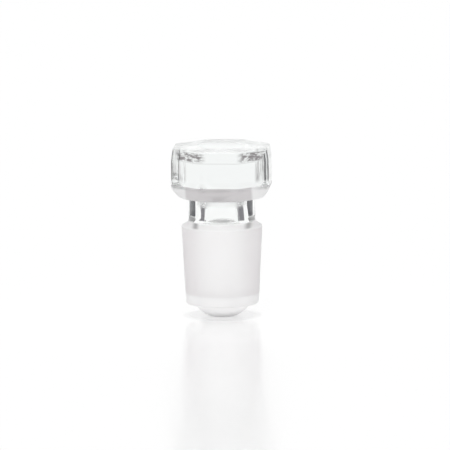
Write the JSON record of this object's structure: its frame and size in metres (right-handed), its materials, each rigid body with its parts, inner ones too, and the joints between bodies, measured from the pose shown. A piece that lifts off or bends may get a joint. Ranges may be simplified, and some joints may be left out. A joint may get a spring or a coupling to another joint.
{
  "type": "glass stopper",
  "caption": "Hollow glass stopper with an octagonal head, a short neck, a ground 1:10 taper joint and a closed, domed end.",
  "frame": {"origin": "centre of the flat foot under the closed end, on the axis of the joint", "axes": "+Z along the joint's axis, up to the head's top face; -Y is the outward normal of one of the head's eight flats"},
  "size_m": [0.0292, 0.0292, 0.0509],
  "materials": {
    "glass": "clear polished glass, ground to an even frost over the taper joint"
  },
  "bodies": {
    "root": {"stopper": "glass"}
  },
  "joints": []
}
